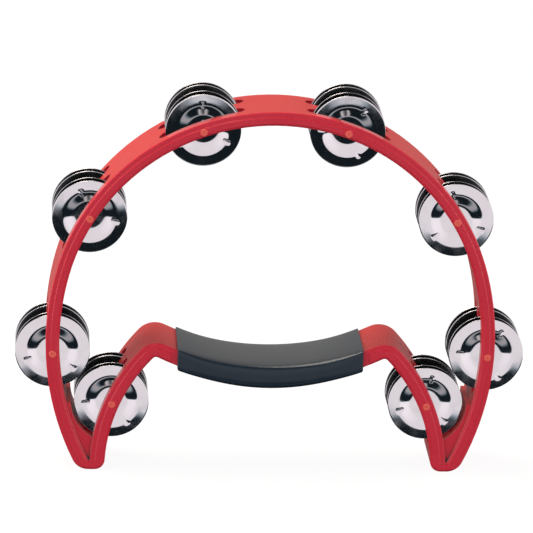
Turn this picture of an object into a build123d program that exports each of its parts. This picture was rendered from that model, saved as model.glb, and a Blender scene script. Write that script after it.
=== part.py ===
from build123d import *
from math import acos, asin, atan2, cos, degrees, hypot, radians, sin, sqrt
import os

# Half-moon hand tambourine: a one-piece moulded hoop that turns in at the bottom into two legs and a
# curved handle bar. Eight stations each hold a steel pin with two pairs of cupped jingles.
# Millimetres. X across, Y from front (-) to back (+), Z up. It stands on its two feet at Z = 0.

# hoop and its straighter lower sides
depth = 44.0                # front face to back face
hoop_radius = 129.5         # outer surface of the hoop
hoop_centre_z = 87.0
hoop_wall = 8.0
side_radius = 165.0         # outer surface of the lower sides
side_start = 75.0           # degrees from the top, where the lower side takes over

# legs and handle bar
foot_width = 15.6           # outer surface of the side to inner surface of the leg, at the floor
foot_outer_round = 10.0
foot_inner_round = 6.0
leg_wall = 8.8
leg_pin_z = 40.2
bar_wall = 8.8
bar_radius = 145.0          # middle of the bar, which sags between the shoulders
bar_low_z = 58.1            # middle of the bar at its lowest
shoulder_round = 13.0
mouth_corner_round = 2.5
foot_inside_round = 0.5     # where side and leg meet, above the floor
web_recess = 3.2            # web at each foot, behind the front and back faces
web_clearance = 2.0         # jingle to the web's curved edge

# raised land along the front and back faces, wide margin on the upper or outer side
land_height = 0.7
land_wide_margin = 2.75
land_slim_margin = 0.9
land_chamfer = 0.55
land_grip_gap = 4.0
edge_chamfer = 0.5

# jingles, pins and plugs
jingle_radius = 21.75
jingle_hole_radius = 2.25
jingle_sheet = 0.6
cup_radius = 9.1            # flat bottom of the cup
crest_radius = 15.0
crest_rise = 2.2
rim_rise = 1.5
flute_depth = 0.3
flute_radius = 2.2
flute_start = 11.8
flute_end = 18.4
pair_half_gap = 1.0         # middle of a pair to the middle of each sheet, at the cup
hang_clearance = 0.03
slot_end_clearance = 4.2    # jingle to the slot's ends
side_clearance = 4.5        # foot jingle to the lower side's inner surface
neighbour_gap = 2.6         # foot jingle to the jingle above it
slot_width = 9.0
row_spacing = 20.0          # front row of slots to rear row
pin_inset = 1.1             # upper pins, inward from the middle of the hoop's wall
pin_radius = 1.5
pin_running_clearance = 0.05
pin_end_gap = 0.1
plug_radius = 2.1
plug_length = 3.0
plug_proud = 0.35
plug_round = 0.3
dimple_radius = 0.6
dimple_tip_radius = 0.1
dimple_depth = 0.5

# stations, in degrees from the top
top_angle = 19.5
high_angle = 58.5

# grip sleeve
grip_length = 108.0
grip_side_proud = 1.9
grip_top_proud = 2.8
grip_top_proud_end = 1.4
grip_bottom_proud = 4.0
grip_bottom_proud_end = 2.6
grip_round = 4.5
grip_end_round = 0.8

below_floor = 20.0          # how far cutting shapes reach past the floor

half_depth = depth / 2
face_y = half_depth - land_height
hoop_centre = (0, hoop_centre_z)
side_offset = side_radius - hoop_radius
side_centre_x = -side_offset * sin(radians(side_start))
side_centre_z = hoop_centre_z - side_offset * cos(radians(side_start))
bar_centre_z = bar_low_z + bar_radius


def side_x(z, inset):
    """X of the right side's surface at height z, set in from its outer surface."""
    return side_centre_x + sqrt((side_radius - inset) ** 2 - (z - side_centre_z) ** 2)


# The leg is an arc that starts upright at the foot and passes through its pin.
foot_x = side_x(0, 0) - foot_width
leg_pin_x = side_x(leg_pin_z, hoop_wall) - jingle_radius - side_clearance
leg_step = foot_x - leg_pin_x
leg_radius = (leg_step**2 + leg_pin_z**2 - leg_wall**2 / 4) / (leg_wall + 2 * leg_step)
leg_centre_x = foot_x - leg_radius


def hoop_region(inset, floor):
    """Region inside the hoop and its lower sides, down to a level floor."""
    start = 90 - side_start
    radius = side_radius - inset
    low = degrees(asin((floor - side_centre_z) / radius))
    top = CenterArc(hoop_centre, hoop_radius - inset, start, 2 * side_start)
    right = CenterArc((side_centre_x, side_centre_z), radius, low, start - low)
    left = CenterArc((-side_centre_x, side_centre_z), radius, 180 - start, start - low)
    return make_face([top, right, left, Line(left @ 1, right @ 0)])


def under_bar(leg_growth, bar_growth, corner):
    """Region between the legs and under the bar, grown by each, with rounded upper corners."""
    legs = Pos(leg_centre_x, 0) * Circle(leg_radius + leg_growth)
    legs &= Pos(-leg_centre_x, 0) * Circle(leg_radius + leg_growth)
    span = 2 * hoop_radius
    legs &= Pos(0, span / 2 - below_floor) * Rectangle(span, span)
    region = legs - Pos(0, bar_centre_z) * Circle(bar_radius + bar_wall / 2 - bar_growth)
    return fillet(region.vertices().group_by(Axis.Y)[-1], corner)


def hand_opening(inset):
    """Opening inside the frame, made larger all round by the inset."""
    inside = hoop_region(hoop_wall - inset, -below_floor)
    inside -= under_bar(leg_wall - inset, bar_wall - inset, shoulder_round - inset)
    return fillet(inside.vertices().group_by(Axis.Y)[0], foot_inside_round + inset)


def frame_outline(inset):
    """Front view of the frame with every edge set in."""
    mouth = under_bar(inset, inset, mouth_corner_round + inset)
    outline = hoop_region(inset, inset) - mouth
    corners = outline.vertices().group_by(Axis.Y)[0].sort_by(lambda v: abs(v.X))
    outline = fillet(corners[2:], foot_outer_round - inset)
    corners = outline.vertices().group_by(Axis.Y)[0].sort_by(lambda v: abs(v.X))
    outline = fillet(corners[:2], foot_inner_round - inset)
    return outline - hand_opening(inset)


def slab(outline, half):
    """Front-view outline made solid, from -half to +half in Y."""
    return extrude(Plane.XZ * outline, amount=half, both=True)


def end_edges(solid):
    """Edges that lie in the frontmost and rearmost faces."""
    groups = solid.edges().group_by(Axis.Y)
    return groups[0] + groups[-1]


def raised(outline):
    """Outline as a land that stands proud of both faces, with chamfered edges."""
    land = slab(outline, half_depth)
    return chamfer(end_edges(land), land_chamfer)


def make_land():
    """Raised land: wide margin on the hoop's outer side and the bar's upper side, slim elsewhere."""
    wide, slim = land_wide_margin, land_slim_margin
    land = raised(frame_outline(slim)) & raised(hoop_region(wide, -below_floor))
    hoop_side = hoop_region(0, -below_floor) - hoop_region(hoop_wall + slim, -below_floor)
    bar_side = under_bar(leg_wall - wide, bar_wall - wide, shoulder_round - wide)
    inside_bottom = hand_opening(0).bounding_box().min.Y
    feet = Rectangle(2 * hoop_radius, 2 * (inside_bottom - slim))
    land &= slab(hoop_side, half_depth) + raised(bar_side) + slab(feet, half_depth)
    bar_box = Box(grip_length + 2 * land_grip_gap, 2 * depth, 2 * bar_low_z)
    return land - Pos(0, 0, bar_low_z) * bar_box


def on_arc(centre_x, centre_z, radius, angle):
    """Point on an arc, angle from the top, with the direction of the wall there."""
    x = centre_x + radius * sin(radians(angle))
    return x, centre_z + radius * cos(radians(angle)), angle


leg_pin_angle = 90 - degrees(asin(leg_pin_z / (leg_radius + leg_wall / 2)))
hoop_pins = hoop_radius - hoop_wall / 2 - pin_inset
side_middle = side_radius - hoop_wall / 2

# The low pin is on the side's middle line, a jingle and a gap away from the foot pin.
foot_reach = hypot(leg_pin_x - side_centre_x, leg_pin_z - side_centre_z)
foot_bearing = degrees(atan2(leg_pin_x - side_centre_x, leg_pin_z - side_centre_z))
pin_distance = 2 * jingle_radius + neighbour_gap
low_share = (side_middle**2 + foot_reach**2 - pin_distance**2) / (2 * side_middle * foot_reach)
low_angle = foot_bearing - degrees(acos(low_share))
right_stations = {
    "top": on_arc(0, hoop_centre_z, hoop_pins, top_angle),
    "high": on_arc(0, hoop_centre_z, hoop_pins, high_angle),
    "low": on_arc(side_centre_x, side_centre_z, side_middle, low_angle),
    "foot": (leg_pin_x, leg_pin_z, leg_pin_angle),
}
stations = {}
for place, (x, z, angle) in right_stations.items():
    stations["left_" + place] = (-x, z, -angle)
    stations["right_" + place] = (x, z, angle)


def along_y(x, z, radius, y_from, y_to):
    """Round bar parallel to Y."""
    return Pos(x, (y_from + y_to) / 2, z) * Rot(90, 0, 0) * Cylinder(radius, y_to - y_from)


def slot_cut(x, z, angle, row):
    """Round-ended slot through the wall at a station."""
    turn = radians(angle)
    wall_plane = Plane(
        origin=(x, 0, z), x_dir=(cos(turn), 0, -sin(turn)), z_dir=(sin(turn), 0, cos(turn))
    )
    length = 2 * (jingle_radius + slot_end_clearance)
    shape = Pos(0, row * row_spacing / 2) * SlotOverall(length, slot_width)
    return extrude(wall_plane * shape, amount=hoop_wall, both=True)


def make_frame():
    """Hoop, legs, bar and foot webs as one moulding, with its slots and pin bores."""
    outline = frame_outline(0)
    body = slab(outline, face_y)
    body = chamfer(end_edges(body), edge_chamfer)
    plain = body
    body += make_land()
    web_box = Pos(leg_pin_x, leg_pin_z / 2) * Rectangle(4 * jingle_radius, leg_pin_z)
    web = hand_opening(0) & web_box
    web -= Pos(leg_pin_x, leg_pin_z) * Circle(jingle_radius + web_clearance)
    body += slab(web, half_depth - web_recess)
    body += slab(mirror(web, about=Plane.YZ), half_depth - web_recess)
    for x, z, angle in stations.values():
        for row in (-1, 1):
            body -= slot_cut(x, z, angle, row)
        bore = pin_radius + pin_running_clearance
        body -= along_y(x, z, bore, -half_depth, half_depth)
        for end in (-1, 1):
            reach = sorted((end * (half_depth - plug_length), end * depth))
            body -= along_y(x, z, plug_radius, *reach)
    return body, plain


def bar_z(x, radius):
    """Height of a sagging arc about the bar's centre."""
    return bar_centre_z - sqrt(radius**2 - x**2)


def make_grip(frame):
    """Moulded sleeve around the bar, bored to the bar's own shape."""
    end = grip_length / 2
    top_radius = bar_radius - bar_wall / 2
    bottom_radius = bar_radius + bar_wall / 2
    top_end = bar_z(end, top_radius) + grip_top_proud_end
    bottom_end = bar_z(end, bottom_radius) - grip_bottom_proud_end
    top = ThreePointArc(
        (-end, top_end), (0, bar_z(0, top_radius) + grip_top_proud), (end, top_end)
    )
    bottom = ThreePointArc(
        (-end, bottom_end), (0, bar_z(0, bottom_radius) - grip_bottom_proud), (end, bottom_end)
    )
    sides = [Line(top @ 1, bottom @ 1), Line(bottom @ 0, top @ 0)]
    sleeve = slab(make_face([top, bottom] + sides), half_depth + grip_side_proud)
    long_edges = sleeve.edges().filter_by(GeomType.CIRCLE)
    sleeve = fillet(long_edges, grip_round)
    ends = sleeve.edges().group_by(Axis.X)
    sleeve = fillet(ends[0] + ends[-1], grip_end_round)
    return sleeve - frame


def make_pin(x, z):
    """Plain steel pin, free to turn between its two plugs."""
    reach = half_depth - plug_length - pin_end_gap
    return along_y(x, z, pin_radius, -reach, reach)


def make_plug(x, z, end):
    """Press-in plug over a pin's end, with a rounded head and a small dimple."""
    plug = Cylinder(plug_radius, plug_length + plug_proud, align=(Align.CENTER, Align.CENTER, Align.MAX))
    plug = fillet(plug.edges().group_by(Axis.Z)[-1], plug_round)
    plug -= Cone(
        dimple_tip_radius, dimple_radius, dimple_depth, align=(Align.CENTER, Align.CENTER, Align.MAX)
    )
    return Pos(x, end * (half_depth + plug_proud), z) * Rot(-90 * end, 0, 0) * plug


def make_jingle():
    """Cupped disc about Z, cup bottom at the origin and crest towards +Z, with three flutes."""
    half = jingle_sheet / 2
    line = [
        (jingle_hole_radius, 0),
        (cup_radius, 0),
        (crest_radius, crest_rise),
        (jingle_radius, rim_rise),
    ]
    upper = [(r, h + half) for r, h in line]
    lower = [(r, h - half) for r, h in reversed(line)]
    section = make_face(Polyline(*upper, *lower, close=True))
    disc = revolve(Plane.XZ * section, Axis.Z)
    length = flute_end - flute_start
    flute = Rot(0, 90, 0) * Cylinder(flute_radius, length)
    flute = Pos((flute_start + flute_end) / 2, 0, crest_rise + half + flute_radius - flute_depth) * flute
    for third in range(3):
        disc -= Rot(0, 0, 120 * third) * flute
    return disc


def place_jingle(jingle, x, z, row, side, turn):
    """Hang a jingle on a pin: row is -1 front or 1 rear, side is -1 or 1 within its pair."""
    y = row * row_spacing / 2 + side * pair_half_gap
    hang = jingle_hole_radius - pin_radius - hang_clearance
    return Pos(x, y, z - hang) * Rot(-90 * side, 0, 0) * Rot(0, 0, turn) * jingle


# how far round each pin its front jingle has turned, and the step to the ones behind it
front_turns = {
    "left_foot": 65, "left_low": 80, "left_high": 109, "left_top": 93,
    "right_top": 54, "right_high": 99, "right_low": 58, "right_foot": 77,
}
turn_step = 47

frame, plain_frame = make_frame()
nodes = {"frame": frame, "grip": make_grip(plain_frame)}
for end, name in ((-1, "front_plugs"), (1, "rear_plugs")):
    nodes[name] = Compound([make_plug(x, z, end) for x, z, angle in stations.values()])
jingle = make_jingle()
for name, (x, z, angle) in stations.items():
    nodes["pin_" + name] = make_pin(x, z)
    for order, (row, side) in enumerate(((-1, -1), (-1, 1), (1, -1), (1, 1))):
        turn = front_turns[name] + order * turn_step
        node = f"jingle_{name}_{order + 1}"
        nodes[node] = place_jingle(jingle, x, z, row, side, turn)

os.makedirs("parts", exist_ok=True)
for name, shape in nodes.items():
    shape.label = name
    export_step(shape, f"parts/{name}.step")
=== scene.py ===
from math import cos, radians, sin

import bpy
import numpy as np
from mathutils import Matrix, Vector


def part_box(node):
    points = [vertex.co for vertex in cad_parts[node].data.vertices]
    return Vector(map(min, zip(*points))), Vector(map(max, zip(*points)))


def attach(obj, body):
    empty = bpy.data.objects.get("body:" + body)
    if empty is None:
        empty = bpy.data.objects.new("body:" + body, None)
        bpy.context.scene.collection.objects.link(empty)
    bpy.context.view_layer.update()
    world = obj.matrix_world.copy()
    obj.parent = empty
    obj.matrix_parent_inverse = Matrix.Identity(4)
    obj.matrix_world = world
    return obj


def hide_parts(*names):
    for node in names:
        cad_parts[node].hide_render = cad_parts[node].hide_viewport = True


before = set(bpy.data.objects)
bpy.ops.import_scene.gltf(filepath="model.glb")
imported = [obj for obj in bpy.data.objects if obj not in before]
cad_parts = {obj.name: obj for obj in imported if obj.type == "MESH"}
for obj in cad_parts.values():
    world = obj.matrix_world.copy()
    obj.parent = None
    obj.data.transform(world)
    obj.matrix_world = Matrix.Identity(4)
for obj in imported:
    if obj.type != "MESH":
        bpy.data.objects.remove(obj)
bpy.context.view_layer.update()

# ---------------------------------------------------------------------------------------------
# Hoop moulding: the half-moon hoop, the two legs and the handle bar are one injection-moulded
# piece of red ABS, semi-gloss from a polished mould, with slots for the jingles cut through.
# ---------------------------------------------------------------------------------------------


def new_group(name, inputs, outputs):
    """Empty shader node group with its inputs (name, socket, value) and outputs (name, socket)."""
    group = bpy.data.node_groups.new(name, "ShaderNodeTree")
    for title, socket, value in inputs:
        made = group.interface.new_socket(title, in_out="INPUT", socket_type=socket)
        if value is not None:
            made.default_value = value
    for title, socket in outputs:
        group.interface.new_socket(title, in_out="OUTPUT", socket_type=socket)
    return group, group.nodes.new("NodeGroupInput"), group.nodes.new("NodeGroupOutput")


def fill_inputs(tree, node, values):
    """Each named or numbered input of a node linked to a socket or given a plain value."""
    for key, value in values.items():
        if isinstance(value, bpy.types.NodeSocket):
            tree.links.new(value, node.inputs[key])
        else:
            node.inputs[key].default_value = value


def add(tree, kind, inputs=None, **settings):
    """New node in a tree, with its attributes set and its inputs filled."""
    node = tree.nodes.new("ShaderNode" + kind)
    for key, value in settings.items():
        setattr(node, key, value)
    fill_inputs(tree, node, inputs or {})
    return node


def add_maths(tree, operation, first, second=None, third=None):
    """Math node's output for one, two or three sockets or numbers."""
    given = {i: v for i, v in enumerate((first, second, third)) if v is not None}
    return add(tree, "Math", given, operation=operation).outputs[0]


def add_ramp(tree, value, start, end, first=0.0, last=1.0):
    """Value carried straight from start..end to first..last, and held level beyond them."""
    span = {"Value": value, "From Min": start, "From Max": end, "To Min": first, "To Max": last}
    return add(tree, "MapRange", span).outputs[0]


def add_noise(tree, place, scale, detail):
    """Noise texture's value at a place."""
    return add(tree, "TexNoise", {"Vector": place, "Scale": scale, "Detail": detail}).outputs[0]


def add_blend(tree, factor, first, second):
    """Colour mixed from first to second by a factor."""
    node = add(tree, "Mix", {0: factor, 6: first, 7: second}, data_type="RGBA")
    return node.outputs[2]


def build_moulded_skin():
    """Moulded polymer skin: cloudy shade from slow noise, gloss that varies with it, and a height
    made of fine grain plus a slow waviness."""
    group, given, out = new_group(
        "moulded_skin",
        [
            ("Colour", "NodeSocketColor", None),
            ("Shade", "NodeSocketColor", None),
            ("Gloss Low", "NodeSocketFloat", 0.2),
            ("Gloss High", "NodeSocketFloat", 0.3),
            ("Cloud Size", "NodeSocketFloat", 40.0),
            ("Grain Size", "NodeSocketFloat", 2500.0),
            ("Grain Depth", "NodeSocketFloat", 0.2),
        ],
        [
            ("Colour", "NodeSocketColor"),
            ("Roughness", "NodeSocketFloat"),
            ("Height", "NodeSocketFloat"),
        ],
    )
    place = add(group, "TexCoord").outputs["Object"]
    cloud = add_noise(group, place, given.outputs["Cloud Size"], 4.0)
    grain = add_noise(group, place, given.outputs["Grain Size"], 2.0)
    colour = add_blend(group, cloud, given.outputs["Colour"], given.outputs["Shade"])
    gloss = given.outputs["Gloss Low"], given.outputs["Gloss High"]
    rough = add_ramp(group, cloud, 0.3, 0.7, *gloss)
    height = add_maths(group, "MULTIPLY_ADD", grain, given.outputs["Grain Depth"], cloud)
    group.links.new(colour, out.inputs["Colour"])
    group.links.new(rough, out.inputs["Roughness"])
    group.links.new(height, out.inputs["Height"])
    return group


moulded_skin = build_moulded_skin()


def new_material(name):
    """Material with nodes, and its Principled shader ready to be linked."""
    material = bpy.data.materials.new(name)
    material.use_nodes = True
    return material, material.node_tree, material.node_tree.nodes["Principled BSDF"]


def place_group(tree, group, values):
    """A node group placed in a material, with its inputs filled."""
    return add(tree, "Group", values, node_tree=group)


def link_bump(tree, shader, height, strength, distance):
    """Height wired to the shader's normal through a Bump node."""
    bump = add(tree, "Bump", {"Height": height, "Strength": strength, "Distance": distance})
    tree.links.new(bump.outputs[0], shader.inputs["Normal"])


# crevice values: painted shade from ambient occlusion; flank values: painted light, a paler coral
# on the flanks
crevice_reach = 0.009
crevice_fade = (0.3, 0.46)
crevice_painted_shade = (0.006, 0.001, 0.001, 1)
flank_fade = (0.25, 0.8)
flank_painted_light = (0.64, 0.050, 0.046, 1)


def make_hoop_red():
    """Semi-gloss red ABS with a faint mould mottle. Its flanks, whose normals turn away from Y,
    are painted a paler coral than its front and back as painted light, and narrow crevices such as
    the slots are darkened with painted shade from ambient occlusion."""
    material, tree, shader = new_material("hoop_red_abs")
    skin = place_group(
        tree,
        moulded_skin,
        {
            "Colour": (0.69, 0.012, 0.040, 1),
            "Shade": (0.63, 0.009, 0.034, 1),
            "Gloss Low": 0.26,
            "Gloss High": 0.36,
            "Cloud Size": 60.0,
            "Grain Size": 3200.0,
            "Grain Depth": 0.25,
        },
    )
    # painted shade: ambient occlusion darkens the slots and other narrow crevices
    crevice = add(
        tree, "AmbientOcclusion", {"Distance": crevice_reach}, samples=16, only_local=True
    )
    openness = add_ramp(tree, crevice.outputs["AO"], *crevice_fade)
    # painted light: faces whose normals turn away from Y are painted a paler coral
    normal = add(tree, "SeparateXYZ", {0: add(tree, "TexCoord").outputs["Normal"]})
    facing = add_ramp(tree, add_maths(tree, "ABSOLUTE", normal.outputs["Y"]), *flank_fade)
    red = add_blend(tree, facing, flank_painted_light, skin.outputs["Colour"])
    tree.links.new(add_blend(tree, openness, crevice_painted_shade, red), shader.inputs["Base Color"])
    tree.links.new(skin.outputs["Roughness"], shader.inputs["Roughness"])
    link_bump(tree, shader, skin.outputs["Height"], 0.12, 0.0002)
    shader.inputs["Specular IOR Level"].default_value = 0.42
    return material


def dress(node, material):
    """Give a CAD node one material."""
    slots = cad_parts[node].data.materials
    slots.clear()
    slots.append(material)


dress("frame", make_hoop_red())
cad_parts["frame"].visible_glossy = False

# ---------------------------------------------------------------------------------------------
# Pins: eight straight lengths of drawn steel rod, one through each pair of slots. They carry
# the jingles, turn freely in their bores and are held in by the plugs.
# ---------------------------------------------------------------------------------------------


def make_drawn_steel():
    """Bright drawn steel, with fine marks all along the rod, which lies along Y."""
    material, tree, shader = new_material("drawn_steel")
    place = add(tree, "TexCoord").outputs["Object"]
    drawn = add(tree, "Mapping", {"Vector": place, "Scale": (4000.0, 60.0, 4000.0)}).outputs[0]
    marks = add_noise(tree, drawn, 1.0, 3.0)
    rough = add_ramp(tree, marks, 0.0, 1.0, 0.18, 0.42)
    colour = add_blend(tree, marks, (0.66, 0.65, 0.63, 1), (0.44, 0.43, 0.42, 1))
    tree.links.new(colour, shader.inputs["Base Color"])
    tree.links.new(rough, shader.inputs["Roughness"])
    link_bump(tree, shader, marks, 0.1, 0.0001)
    shader.inputs["Metallic"].default_value = 1.0
    return material


pin_steel = make_drawn_steel()
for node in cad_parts:
    if node.startswith("pin_"):
        dress(node, pin_steel)

# ---------------------------------------------------------------------------------------------
# Plugs: small moulded caps of a lighter orange-red plastic, pressed into both ends of every pin
# bore. Each has a rounded head with a tiny gate dimple in its middle.
# ---------------------------------------------------------------------------------------------


def make_plug_plastic():
    """Orange-red plastic, a little softer in gloss than the hoop."""
    material, tree, shader = new_material("plug_orange_red")
    skin = place_group(
        tree,
        moulded_skin,
        {
            "Colour": (0.92, 0.125, 0.09, 1),
            "Shade": (0.84, 0.10, 0.07, 1),
            "Gloss Low": 0.32,
            "Gloss High": 0.45,
            "Cloud Size": 300.0,
            "Grain Size": 5000.0,
            "Grain Depth": 0.3,
        },
    )
    tree.links.new(skin.outputs["Colour"], shader.inputs["Base Color"])
    tree.links.new(skin.outputs["Roughness"], shader.inputs["Roughness"])
    link_bump(tree, shader, skin.outputs["Height"], 0.15, 0.0001)
    return material


plug_plastic = make_plug_plastic()
for node in ("front_plugs", "rear_plugs"):
    dress(node, plug_plastic)
    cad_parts[node].visible_glossy = False

# ---------------------------------------------------------------------------------------------
# Jingles: thirty-two cupped discs pressed from 0.6 mm steel, with three flutes across the crest,
# nickel plated and hung on the pins in pairs, cup to cup. Only the two outermost faces on a pin
# keep the bright plate. All the faces between them get a dark dull plate as painted shade.
# ---------------------------------------------------------------------------------------------
disc_radius = 0.02175
hole_radius = 0.00225
sheet = 0.0006
cup_edge = 0.0091
crest_at = 0.0150
crest_rise = 0.0022
rim_rise = 0.0019
bend_width = 0.00045
flute_reach = (0.0128, 0.0174)
flute_width = 0.00075
flute_depth = 0.0006
flute_bluntness = 0.6
rim_steps = 144
profile_steps = 46
edge_steps = 6


def corner(x, at, width):
    """Ramp that is 0 before a corner and rises by 1 per unit after it, with a rounded corner."""
    return width * np.logaddexp(0, (x - at) / width)


def disc_height(r):
    """Height of the sheet's middle: flat cup, straight slope up to the crest, gentle fall to the
    rim. It is three ramps added, each with a rounded corner."""
    climb = crest_rise / (crest_at - cup_edge)
    fall = (crest_rise - rim_rise) / (disc_radius - crest_at)
    rise = climb * corner(r, cup_edge, bend_width)
    return rise - (climb + fall) * corner(r, crest_at, bend_width)


def flute_press(r, angle):
    """How far the crest is pressed in: a rounded groove along three radii, a bell curve across
    and half a sine, made blunter by a power below 1, between its two ends."""
    inner, outer = flute_reach
    along = np.clip((r - inner) / (outer - inner), 0, 1)
    along = np.sin(np.pi * along) ** flute_bluntness
    around = (angle + np.pi / 3) % (2 * np.pi / 3) - np.pi / 3
    return flute_depth * along * np.exp(-((r * around / flute_width) ** 2))


def disc_grid():
    """Closed sheet as a grid: a loop (crest side, rolled rim, hollow side, hole) carried round the
    axis. Each point is half a sheet from the sheet's middle, along an angle that leans from up
    over the rim to down and back through the hole, where it goes only half as far. The axis is Z,
    with the crest towards +Z and the cup's middle at the origin."""
    half = sheet / 2
    radii = np.linspace(hole_radius + half / 2, disc_radius - half, profile_steps)
    bend = np.linspace(np.pi / 2, -np.pi / 2, edge_steps + 2)[1:-1]
    rim, hole = np.full(edge_steps, radii[-1]), np.full(edge_steps, radii[0])
    r_mid = np.concatenate([radii, rim, radii[::-1], hole])
    upright = np.full(profile_steps, np.pi / 2)
    lean = np.concatenate([upright, bend, -upright, np.pi - bend[::-1]])
    angle = np.linspace(0, 2 * np.pi, rim_steps, endpoint=False)
    r, turn = np.meshgrid(r_mid, angle)
    out = half * np.cos(lean)
    reach = r + np.where(np.arange(len(lean)) < len(lean) - edge_steps, out, out / 2)
    height = disc_height(r) - flute_press(r, turn) + half * np.sin(lean)
    return np.stack([reach * np.cos(turn), reach * np.sin(turn), height], axis=-1)


def grid_mesh(name, points, uv=None):
    """Mesh of quads from a grid of points that closes on itself in both directions."""
    rows, cols = points.shape[:2]
    i, j = np.meshgrid(np.arange(rows), np.arange(cols), indexing="ij")
    i2, j2 = (i + 1) % rows, (j + 1) % cols
    quads = np.stack([i * cols + j, i * cols + j2, i2 * cols + j2, i2 * cols + j], axis=-1)
    quads = quads.reshape(-1, 4)
    mesh = bpy.data.meshes.new(name)
    mesh.vertices.add(rows * cols)
    mesh.vertices.foreach_set("co", points.astype(np.float32).ravel())
    mesh.loops.add(quads.size)
    mesh.loops.foreach_set("vertex_index", quads.astype(np.int32).ravel())
    mesh.polygons.add(len(quads))
    mesh.polygons.foreach_set("loop_start", np.arange(0, quads.size, 4, dtype=np.int32))
    mesh.polygons.foreach_set("use_smooth", np.ones(len(quads), dtype=bool))
    mesh.update(calc_edges=True)
    if uv is not None:
        layer = mesh.uv_layers.new(name="surface")
        layer.data.foreach_set("uv", uv.reshape(-1, 2)[quads.ravel()].astype(np.float32).ravel())
    mesh.validate()
    return mesh


scuff_turn = 0.6
scuff_scale = (300.0, 5200.0, 1.0)


def make_nickel_plate(name, bright, worn, gloss):
    """Nickel over pressed steel: rings left by the spinning tool, faint smudges and short
    hairline scuffs. The disc's map holds its plan view, so that the rings follow each disc."""
    material, tree, shader = new_material(name)
    plan = add(tree, "UVMap", uv_map="surface").outputs[0]
    away = add(tree, "VectorMath", {0: plan}, operation="LENGTH").outputs["Value"]
    rings = add(
        tree, "TexNoise", {"W": away, "Scale": 5200.0, "Detail": 2.0}, noise_dimensions="1D"
    ).outputs[0]
    smudge = add_noise(tree, plan, 130.0, 4.0)
    scuff_at = add(
        tree, "Mapping", {"Vector": plan, "Rotation": (0, 0, scuff_turn), "Scale": scuff_scale}
    ).outputs[0]
    scuff = add_noise(tree, scuff_at, 1.0, 1.0)
    fine = add_maths(tree, "MULTIPLY_ADD", scuff, 0.35, rings)
    rough = add_ramp(tree, smudge, 0.35, 0.75, *gloss)
    tree.links.new(add_blend(tree, smudge, bright, worn), shader.inputs["Base Color"])
    tree.links.new(rough, shader.inputs["Roughness"])
    link_bump(tree, shader, fine, 0.035, 0.00002)
    shader.inputs["Metallic"].default_value = 1.0
    return material


nickel_plate = make_nickel_plate(
    "nickel_plate", (0.75, 0.70, 0.735, 1), (0.66, 0.62, 0.65, 1), (0.045, 0.12)
)
# painted shade: a dark dull plate for the faces between the discs, where shade falls
nickel_painted_shade = make_nickel_plate(
    "nickel_painted_shade", (0.19, 0.195, 0.205, 1), (0.12, 0.125, 0.13, 1), (0.2, 0.32)
)

# how far each station's front jingle has turned, and how far it and the three behind it lean:
# forwards (top towards the front) and to the side, in degrees
stations = {
    "left_foot": (65, ((-0.2, 0.3), (-0.2, 0.2), (0.1, -0.2), (-0.2, 0.2))),
    "left_low": (80, ((-0.3, 0.3), (0.4, -0.3), (-0.2, 0.2), (0.3, 0.3))),
    "left_high": (109, ((3.0, 0.6), (0.5, 0.4), (0.4, -0.3), (-0.4, -0.2))),
    "left_top": (93, ((5.2, -0.6), (0.6, 0.2), (-0.1, 0.2), (0.4, -0.3))),
    "right_top": (54, ((5.2, 0.4), (0.6, -0.5), (0.5, 0.3), (-0.9, 0.4))),
    "right_high": (99, ((0.8, -0.2), (0.3, 0.4), (-0.4, -0.4), (0.4, 0.2))),
    "right_low": (58, ((0.2, 0.3), (-0.3, -0.3), (0.4, 0.3), (-0.4, -0.4))),
    "right_foot": (77, ((-0.1, -0.3), (0.3, 0.2), (-0.1, -0.2), (0.3, 0.2))),
}
turn_step = 47
plain_disc = disc_grid()


def stand_disc(node, order, turn, lean):
    """The plain disc's points, turned and leant, with its crest facing out of its pair and its
    cup on the inner side of the CAD disc's box."""
    side = -1 if order % 2 == 0 else 1
    low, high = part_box(node)
    cup_y = high.y - sheet / 2 if side < 0 else low.y + sheet / 2
    forward, sideways = lean
    stand = Matrix.Translation(((low.x + high.x) / 2, cup_y, (low.z + high.z) / 2))
    stand @= Matrix.Rotation(radians(forward), 4, "X") @ Matrix.Rotation(radians(sideways), 4, "Z")
    stand @= Matrix.Rotation(radians(-90 * side), 4, "X") @ Matrix.Rotation(radians(turn), 4, "Z")
    return plain_disc @ np.array(stand.to_3x3()).T + np.array(stand.translation)


def plate_disc(mesh, order):
    """Bright plate, and a dark dull plate as painted shade on the hollow side, or on both sides of
    an inner disc.
    """
    mesh.materials.append(nickel_plate)
    mesh.materials.append(nickel_painted_shade)
    # faces that get the dark plate as painted shade
    painted_shade_faces = np.zeros(plain_disc.shape[:2], dtype=np.int32)
    painted_shade_faces[:, profile_steps + edge_steps - 1 : 2 * profile_steps + edge_steps] = 1
    if order in (1, 2):
        painted_shade_faces[:, : profile_steps - 1] = 1
    mesh.polygons.foreach_set("material_index", painted_shade_faces.ravel())


for station, (front_turn, leans) in stations.items():
    for order, lean in enumerate(leans):
        node = f"jingle_{station}_{order + 1}"
        points = stand_disc(node, order, front_turn + order * turn_step, lean)
        mesh = grid_mesh(f"nickel_{node}", points, plain_disc[..., :2])
        plate_disc(mesh, order)
        disc = bpy.data.objects.new(f"nickel_{node}", mesh)
        bpy.context.scene.collection.objects.link(disc)
        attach(disc, node)
        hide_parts(node)

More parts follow.
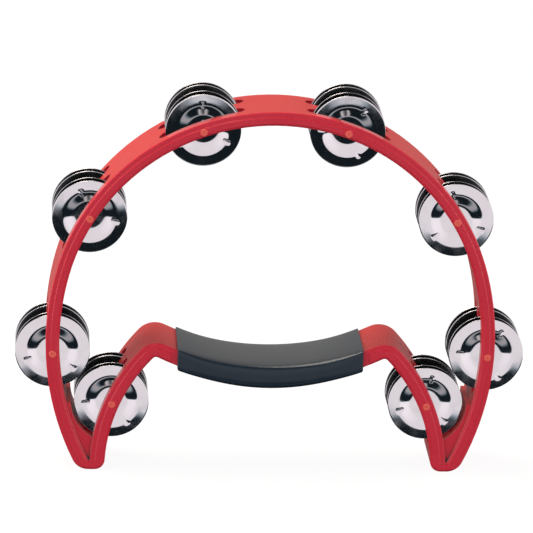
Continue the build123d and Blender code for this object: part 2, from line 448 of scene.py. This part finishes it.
# ---------------------------------------------------------------------------------------------
# Grip: a sleeve of soft black rubber foam with a smooth skin, moulded round the handle bar. It
# is softly rounded in the middle, and its corners draw out sharp towards the two cut ends.
# ---------------------------------------------------------------------------------------------
bar_radius = 0.145
bar_wall = 0.0088
bar_low_z = 0.0581
bar_centre_z = bar_low_z + bar_radius
bar_face_y = 0.0214
grip_top_proud = (0.0028, 0.0014)
grip_bottom_proud = (0.0040, 0.0026)
grip_end_round = 0.0008
middle_power = 5.2
end_power = 12.2
power_rise = 7
bore_power = 12
bore_inset = 0.0003
grip_steps = 120
section_steps = 128
bore_steps = 40
end_round_steps = 6


def squarish(angle, power):
    """Y and Z of |y|^n + |z|^n = 1 at each angle, for one power n or for one at each section."""
    c, s = np.cos(angle), np.sin(angle)
    power = np.asarray(power, dtype=float)[..., None]
    scale = (np.abs(c) ** power + np.abs(s) ** power) ** (-1 / power)
    return -c * scale, s * scale


def bar_height(x, radius):
    """Height of an arc of the sagging bar, whose centre is above it."""
    return bar_centre_z - np.sqrt(radius**2 - x**2)


def grip_grid():
    """Sleeve as a grid: sections across the bar, carried along its sagging arc and then back
    through the bore. A section is a squarish oval, |y/a|^n + |z/b|^n = 1, whose power n grows
    towards the ends. It stands proud of the bar by more in the middle than at the ends, and the
    first and last millimetre round over into flat ends."""
    low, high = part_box("grip")
    half_length = high.x
    half_width = high.y
    round_over = np.linspace(0, np.pi / 2, end_round_steps + 1)[:-1]
    shoulder = half_length - grip_end_round
    along = np.linspace(-shoulder, shoulder, grip_steps)
    tuck = grip_end_round * (1 - np.sin(round_over))
    ends = shoulder + grip_end_round * np.cos(round_over)
    x = np.concatenate([-ends, along, ends[::-1]])
    shrink = np.concatenate([tuck, np.zeros(grip_steps), tuck[::-1]])
    share = np.abs(x / half_length)
    swell = 1 - share**2
    top_middle, top_end = grip_top_proud
    bottom_middle, bottom_end = grip_bottom_proud
    top_proud = top_end + (top_middle - top_end) * swell - shrink
    bottom_proud = bottom_end + (bottom_middle - bottom_end) * swell - shrink
    top = bar_height(x, bar_radius - bar_wall / 2) + top_proud
    bottom = bar_height(x, bar_radius + bar_wall / 2) - bottom_proud
    angle = np.linspace(0, 2 * np.pi, section_steps, endpoint=False)
    y, z = squarish(angle, middle_power + (end_power - middle_power) * share**power_rise)
    y = y * (half_width - shrink)[:, None]
    z = z * ((top - bottom) / 2)[:, None] + ((top + bottom) / 2)[:, None]
    outer = np.stack([np.broadcast_to(x[:, None], y.shape), y, z], axis=-1)
    bore_x = np.linspace(x[-1], x[0], bore_steps)
    bore_y, bore_z = squarish(angle, bore_power)
    bore_z = bore_z * (bar_wall / 2 - bore_inset) + bar_height(bore_x, bar_radius)[:, None]
    bore_y = np.broadcast_to(bore_y * (bar_face_y - bore_inset), bore_z.shape)
    bore = np.stack([np.broadcast_to(bore_x[:, None], bore_z.shape), bore_y, bore_z], axis=-1)
    return np.concatenate([outer, bore])


# painted sheen: a lighter grey on the top faces, standing in for the reflection they catch
top_sheen_fade = (0.8, 0.99)
top_painted_sheen = (0.115, 0.125, 0.135, 1)


def make_grip_rubber():
    """Blue-black rubber with a skinned surface: fine orange-peel and small pits. A painted sheen
    greys the top where its normal points almost straight up, standing in for reflected light."""
    material, tree, shader = new_material("grip_black_rubber")
    skin = place_group(
        tree,
        moulded_skin,
        {
            "Colour": (0.012, 0.022, 0.036, 1),
            "Shade": (0.018, 0.030, 0.046, 1),
            "Gloss Low": 0.13,
            "Gloss High": 0.25,
            "Cloud Size": 90.0,
            "Grain Size": 1400.0,
            "Grain Depth": 0.35,
        },
    )
    place = add(tree, "TexCoord").outputs["Object"]
    pits = add(tree, "TexVoronoi", {"Vector": place, "Scale": 420.0}).outputs["Distance"]
    pits = add_ramp(tree, pits, 0.0, 0.16)
    height = add_maths(tree, "MULTIPLY_ADD", pits, 0.35, skin.outputs["Height"])
    normal = add(tree, "SeparateXYZ", {0: add(tree, "TexCoord").outputs["Normal"]})
    # painted sheen: upward-facing faces are blended to a lighter grey
    upward = add_ramp(tree, normal.outputs["Z"], *top_sheen_fade)
    sheened = add_blend(tree, upward, skin.outputs["Colour"], top_painted_sheen)
    tree.links.new(sheened, shader.inputs["Base Color"])
    tree.links.new(skin.outputs["Roughness"], shader.inputs["Roughness"])
    link_bump(tree, shader, height, 0.22, 0.00025)
    shader.inputs["Specular IOR Level"].default_value = 0.3
    return material


sleeve = bpy.data.objects.new("grip_sleeve", grid_mesh("grip_sleeve", grip_grid()))
bpy.context.scene.collection.objects.link(sleeve)
sleeve.data.materials.append(make_grip_rubber())
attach(sleeve, "frame")
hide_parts("grip")

# ---------------------------------------------------------------------------------------------
# Studio: a white sweep that mirror-bright parts don't reflect, bright walls all round down to
# just below the horizon, a dark pit under them with the faint glow of a table top in it, a soft
# box overhead and a fill light at each side.
# ---------------------------------------------------------------------------------------------
floor_reach = 6.0
floor_glow = 0.92
wall_foot = (-0.352, -0.335)
pit_level = 0.014
back_fade = (-0.3, 0.5)
back_level = 0.25
side_rise = (0.3, 1.0)
side_level = 1.4
ceiling_fade = (0.55, 0.8)
ceiling_level = 0.12
table_near = (-0.77, -0.70)
table_far = (-0.54, -0.62)
table_level = 0.42
pit_tint = (0.6, 1.0, 1.25, 1)
wall_tint = (1, 0.985, 0.995, 1)
lamp_warm_white = (1.0, 0.95, 0.84)
lamp_aim = Vector((0, 0, 0.1))


def make_floor():
    """Wide white floor that glows a little, so that shadows on it stay faint."""
    mesh = bpy.data.meshes.new("studio_floor")
    turns = ((-1, -1), (1, -1), (1, 1), (-1, 1))
    corners = [(floor_reach * x, floor_reach * y, 0) for x, y in turns]
    mesh.from_pydata(corners, [], [(0, 1, 2, 3)])
    floor = bpy.data.objects.new("studio_floor", mesh)
    bpy.context.scene.collection.objects.link(floor)
    material, tree, shader = new_material("floor_white")
    shader.inputs["Base Color"].default_value = (0.12, 0.12, 0.12, 1)
    shader.inputs["Roughness"].default_value = 1.0
    shader.inputs["Specular IOR Level"].default_value = 0.0
    shader.inputs["Emission Color"].default_value = (1, 1, 1, 1)
    shader.inputs["Emission Strength"].default_value = floor_glow
    mesh.materials.append(material)
    floor.visible_glossy = False
    floor.visible_diffuse = False


def make_studio_walls():
    """World: white to the camera. To everything else it is bright above a line 20 degrees below
    the horizon and a bluish black under it, brighter at the sides than in front, and dimmer
    behind and on the ceiling. A table top glows grey from 33 to 50 degrees below the horizon. Each
    limit is a range of X, Y or Z of the direction looked in."""
    world = bpy.data.worlds.new("studio")
    bpy.context.scene.world = world
    world.use_nodes = True
    tree = world.node_tree
    tree.nodes.clear()
    out = tree.nodes.new("ShaderNodeOutputWorld")
    parts = add(tree, "SeparateXYZ", {0: add(tree, "TexCoord").outputs["Generated"]})
    sideways, backwards, up = (parts.outputs[axis] for axis in "XYZ")
    above = add_ramp(tree, up, *wall_foot, pit_level, 1.0)
    back = add_ramp(tree, backwards, *back_fade, 1.0, back_level)
    sides = add_ramp(tree, add_maths(tree, "ABSOLUTE", sideways), *side_rise, 1.0, side_level)
    ceiling = add_ramp(tree, up, *ceiling_fade, 1.0, ceiling_level)
    level = above
    for share in (back, sides, ceiling):
        level = add_maths(tree, "MULTIPLY", level, share)
    table = add_maths(
        tree, "MULTIPLY", add_ramp(tree, up, *table_near), add_ramp(tree, up, *table_far)
    )
    level = add_maths(tree, "MULTIPLY_ADD", table, table_level, level)
    tint = add_blend(tree, add_maths(tree, "ADD", above, table), pit_tint, wall_tint)
    lit = add(tree, "Background", {"Color": tint, "Strength": level})
    seen = add(tree, "Background", {"Color": (1, 1, 1, 1), "Strength": 1.0})
    to_camera = add(tree, "LightPath").outputs["Is Camera Ray"]
    mixed = add(tree, "MixShader", {0: to_camera, 1: lit.outputs[0], 2: seen.outputs[0]})
    tree.links.new(mixed.outputs[0], out.inputs["Surface"])


def make_soft_box(name, size, place, power):
    """Square warm white area light at a place, facing the middle of the tambourine."""
    light = bpy.data.lights.new(name, "AREA")
    light.size = size
    light.energy = power
    light.color = lamp_warm_white
    box = bpy.data.objects.new(name, light)
    bpy.context.scene.collection.objects.link(box)
    box.location = place
    box.rotation_mode = "QUATERNION"
    box.rotation_quaternion = (lamp_aim - Vector(place)).to_track_quat("-Z", "Y")
    return box


make_floor()
make_studio_walls()
make_soft_box("overhead", 0.8, (-0.35, 0.25, 1.3), 14.0)
make_soft_box("left_fill", 1.0, (-1.6, 0.15, 0.35), 14.0).visible_glossy = False
make_soft_box("right_fill", 1.0, (1.6, 0.15, 0.35), 10.0).visible_glossy = False
bpy.context.scene.view_settings.view_transform = "Standard"

# ---------------------------------------------------------------------------------------------
# Camera: a long lens on a full-frame back, a little above the tambourine and just left of its
# middle, rolled slightly as if held by hand.
# ---------------------------------------------------------------------------------------------
camera_pivot = Vector((0, -0.022, 0.110))
camera_distance = 2.5
camera_yaw = radians(-3.36)
camera_pitch = radians(16.44)
camera_roll = radians(1.51)
camera_left = 0.0038
camera_up = 0.0142
camera_lens = 291.95


def make_camera():
    """Camera placed by its distance from a pivot, its yaw, pitch and roll, and small offsets."""
    aside, ahead = sin(camera_yaw), cos(camera_yaw)
    forward = Vector((-aside * cos(camera_pitch), ahead * cos(camera_pitch), -sin(camera_pitch)))
    right = Vector((ahead, aside, 0))
    up = right.cross(forward)
    camera = bpy.data.cameras.new("camera")
    camera.lens = camera_lens
    camera.sensor_width = 36.0
    eye = bpy.data.objects.new("camera", camera)
    bpy.context.scene.collection.objects.link(eye)
    eye.location = (
        camera_pivot - camera_left * right + camera_up * up - camera_distance * forward
    )
    turned_right = cos(camera_roll) * right + sin(camera_roll) * up
    turned_up = cos(camera_roll) * up - sin(camera_roll) * right
    axes = Matrix((turned_right, turned_up, -forward)).transposed()
    eye.rotation_mode = "QUATERNION"
    eye.rotation_quaternion = axes.to_quaternion()
    bpy.context.scene.camera = eye


make_camera()
